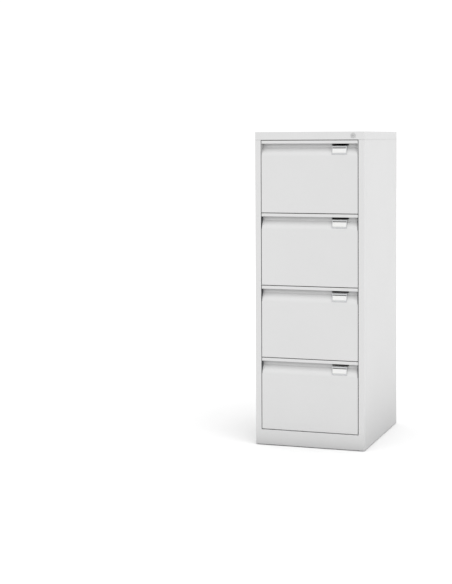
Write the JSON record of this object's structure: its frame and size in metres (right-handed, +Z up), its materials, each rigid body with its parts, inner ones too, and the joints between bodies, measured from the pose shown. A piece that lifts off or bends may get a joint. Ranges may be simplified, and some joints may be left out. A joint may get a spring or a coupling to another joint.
{
  "type": "filing cabinet",
  "caption": "Upright steel filing cabinet with stacked full-extension drawers, finger recesses, label holders and a top lock.",
  "frame": {"origin": "centre of the footprint, on the floor", "axes": "+Z up, drawers open towards -Y, +X to the right seen from the front"},
  "size_m": [0.47, 0.622, 1.321],
  "materials": {
    "case_coat": "light grey powder coat, fine texture",
    "front_coat": "light grey powder coat, fine texture",
    "tray_coat": "dark grey powder coat",
    "zinc_steel": "bright zinc plate",
    "chrome": "bright plated",
    "nickel": "satin nickel",
    "card": "matt white card",
    "black_nylon": "moulded black nylon",
    "rubber": "soft black rubber"
  },
  "bodies": {
    "cabinet": {"left_side_panel": "case_coat", "right_side_panel": "case_coat", "back_panel": "case_coat", "top_cover": "case_coat", "bottom_panel": "case_coat", "front_plinth": "case_coat", "front_uprights": "zinc_steel", "rear_uprights": "zinc_steel", "cabinet_rails": "zinc_steel", "rear_buffers": "rubber", "glides": "black_nylon", "back_screws": "zinc_steel", "lock_housing": "nickel"},
    "lock_plug": {"lock_barrel": "nickel", "lock_cam": "zinc_steel"},
    "lock_bar": {"lock_bar": "zinc_steel"},
    "drawer_1": {"drawer_1_front": "front_coat", "drawer_1_front_liner": "tray_coat", "drawer_1_tray": "tray_coat", "drawer_1_back": "tray_coat", "drawer_1_label_holder": "chrome", "drawer_1_label_card": "card", "drawer_1_drawer_rails": "zinc_steel"},
    "drawer_1_middle_rails": {"drawer_1_middle_rails": "zinc_steel"},
    "drawer_1_outer_rails": {"drawer_1_outer_rails": "zinc_steel"},
    "drawer_1_inner_cages": {"drawer_1_inner_cages": "black_nylon"},
    "drawer_1_outer_cages": {"drawer_1_outer_cages": "black_nylon"},
    "drawer_2": {"drawer_2_front": "front_coat", "drawer_2_front_liner": "tray_coat", "drawer_2_tray": "tray_coat", "drawer_2_back": "tray_coat", "drawer_2_label_holder": "chrome", "drawer_2_label_card": "card", "drawer_2_drawer_rails": "zinc_steel"},
    "drawer_2_middle_rails": {"drawer_2_middle_rails": "zinc_steel"},
    "drawer_2_outer_rails": {"drawer_2_outer_rails": "zinc_steel"},
    "drawer_2_inner_cages": {"drawer_2_inner_cages": "black_nylon"},
    "drawer_2_outer_cages": {"drawer_2_outer_cages": "black_nylon"},
    "drawer_3": {"drawer_3_front": "front_coat", "drawer_3_front_liner": "tray_coat", "drawer_3_tray": "tray_coat", "drawer_3_back": "tray_coat", "drawer_3_label_holder": "chrome", "drawer_3_label_card": "card", "drawer_3_drawer_rails": "zinc_steel"},
    "drawer_3_middle_rails": {"drawer_3_middle_rails": "zinc_steel"},
    "drawer_3_outer_rails": {"drawer_3_outer_rails": "zinc_steel"},
    "drawer_3_inner_cages": {"drawer_3_inner_cages": "black_nylon"},
    "drawer_3_outer_cages": {"drawer_3_outer_cages": "black_nylon"},
    "drawer_4": {"drawer_4_front": "front_coat", "drawer_4_front_liner": "tray_coat", "drawer_4_tray": "tray_coat", "drawer_4_back": "tray_coat", "drawer_4_label_holder": "chrome", "drawer_4_label_card": "card", "drawer_4_drawer_rails": "zinc_steel"},
    "drawer_4_middle_rails": {"drawer_4_middle_rails": "zinc_steel"},
    "drawer_4_outer_rails": {"drawer_4_outer_rails": "zinc_steel"},
    "drawer_4_inner_cages": {"drawer_4_inner_cages": "black_nylon"},
    "drawer_4_outer_cages": {"drawer_4_outer_cages": "black_nylon"}
  },
  "joints": [
    {"name": "lock_turn", "type": "hinge", "parent": "cabinet", "child": "lock_plug", "pos_m": [0.1875, -0.3095, 1.3045], "axis": [0, 1, 0], "range_deg": [0, 90]},
    {"name": "lock_bar_slide", "type": "slide", "parent": "cabinet", "child": "lock_bar", "axis": [0, 0, -1], "range_m": [0, 0.012]},
    {"name": "drawer_1_slide", "type": "slide", "parent": "cabinet", "child": "drawer_1", "axis": [0, -1, 0], "range_m": [0, 0.532]},
    {"name": "drawer_1_outer_rails_slide", "type": "slide", "parent": "cabinet", "child": "drawer_1_outer_rails", "axis": [0, -1, 0], "range_m": [0, 0.1778]},
    {"name": "drawer_1_outer_cages_slide", "type": "slide", "parent": "cabinet", "child": "drawer_1_outer_cages", "axis": [0, -1, 0], "range_m": [0, 0.2665]},
    {"name": "drawer_1_middle_rails_slide", "type": "slide", "parent": "cabinet", "child": "drawer_1_middle_rails", "axis": [0, -1, 0], "range_m": [0, 0.3552]},
    {"name": "drawer_1_inner_cages_slide", "type": "slide", "parent": "cabinet", "child": "drawer_1_inner_cages", "axis": [0, -1, 0], "range_m": [0, 0.4438]},
    {"name": "drawer_2_slide", "type": "slide", "parent": "cabinet", "child": "drawer_2", "axis": [0, -1, 0], "range_m": [0, 0.532]},
    {"name": "drawer_2_outer_rails_slide", "type": "slide", "parent": "cabinet", "child": "drawer_2_outer_rails", "axis": [0, -1, 0], "range_m": [0, 0.1778]},
    {"name": "drawer_2_outer_cages_slide", "type": "slide", "parent": "cabinet", "child": "drawer_2_outer_cages", "axis": [0, -1, 0], "range_m": [0, 0.2665]},
    {"name": "drawer_2_middle_rails_slide", "type": "slide", "parent": "cabinet", "child": "drawer_2_middle_rails", "axis": [0, -1, 0], "range_m": [0, 0.3552]},
    {"name": "drawer_2_inner_cages_slide", "type": "slide", "parent": "cabinet", "child": "drawer_2_inner_cages", "axis": [0, -1, 0], "range_m": [0, 0.4438]},
    {"name": "drawer_3_slide", "type": "slide", "parent": "cabinet", "child": "drawer_3", "axis": [0, -1, 0], "range_m": [0, 0.532]},
    {"name": "drawer_3_outer_rails_slide", "type": "slide", "parent": "cabinet", "child": "drawer_3_outer_rails", "axis": [0, -1, 0], "range_m": [0, 0.1778]},
    {"name": "drawer_3_outer_cages_slide", "type": "slide", "parent": "cabinet", "child": "drawer_3_outer_cages", "axis": [0, -1, 0], "range_m": [0, 0.2665]},
    {"name": "drawer_3_middle_rails_slide", "type": "slide", "parent": "cabinet", "child": "drawer_3_middle_rails", "axis": [0, -1, 0], "range_m": [0, 0.3552]},
    {"name": "drawer_3_inner_cages_slide", "type": "slide", "parent": "cabinet", "child": "drawer_3_inner_cages", "axis": [0, -1, 0], "range_m": [0, 0.4438]},
    {"name": "drawer_4_slide", "type": "slide", "parent": "cabinet", "child": "drawer_4", "axis": [0, -1, 0], "range_m": [0, 0.532]},
    {"name": "drawer_4_outer_rails_slide", "type": "slide", "parent": "cabinet", "child": "drawer_4_outer_rails", "axis": [0, -1, 0], "range_m": [0, 0.1778]},
    {"name": "drawer_4_outer_cages_slide", "type": "slide", "parent": "cabinet", "child": "drawer_4_outer_cages", "axis": [0, -1, 0], "range_m": [0, 0.2665]},
    {"name": "drawer_4_middle_rails_slide", "type": "slide", "parent": "cabinet", "child": "drawer_4_middle_rails", "axis": [0, -1, 0], "range_m": [0, 0.3552]},
    {"name": "drawer_4_inner_cages_slide", "type": "slide", "parent": "cabinet", "child": "drawer_4_inner_cages", "axis": [0, -1, 0], "range_m": [0, 0.4438]}
  ],
  "couplings": [
    {"joint": "lock_turn", "follows": "lock_bar_slide", "rad_per_m": 130.68},
    {"joint": "drawer_1_outer_rails_slide", "follows": "drawer_1_slide", "ratio": 0.33333},
    {"joint": "drawer_1_outer_cages_slide", "follows": "drawer_1_slide", "ratio": 0.5},
    {"joint": "drawer_1_middle_rails_slide", "follows": "drawer_1_slide", "ratio": 0.66667},
    {"joint": "drawer_1_inner_cages_slide", "follows": "drawer_1_slide", "ratio": 0.83333},
    {"joint": "drawer_2_outer_rails_slide", "follows": "drawer_2_slide", "ratio": 0.33333},
    {"joint": "drawer_2_outer_cages_slide", "follows": "drawer_2_slide", "ratio": 0.5},
    {"joint": "drawer_2_middle_rails_slide", "follows": "drawer_2_slide", "ratio": 0.66667},
    {"joint": "drawer_2_inner_cages_slide", "follows": "drawer_2_slide", "ratio": 0.83333},
    {"joint": "drawer_3_outer_rails_slide", "follows": "drawer_3_slide", "ratio": 0.33333},
    {"joint": "drawer_3_outer_cages_slide", "follows": "drawer_3_slide", "ratio": 0.5},
    {"joint": "drawer_3_middle_rails_slide", "follows": "drawer_3_slide", "ratio": 0.66667},
    {"joint": "drawer_3_inner_cages_slide", "follows": "drawer_3_slide", "ratio": 0.83333},
    {"joint": "drawer_4_outer_rails_slide", "follows": "drawer_4_slide", "ratio": 0.33333},
    {"joint": "drawer_4_outer_cages_slide", "follows": "drawer_4_slide", "ratio": 0.5},
    {"joint": "drawer_4_middle_rails_slide", "follows": "drawer_4_slide", "ratio": 0.66667},
    {"joint": "drawer_4_inner_cages_slide", "follows": "drawer_4_slide", "ratio": 0.83333}
  ]
}
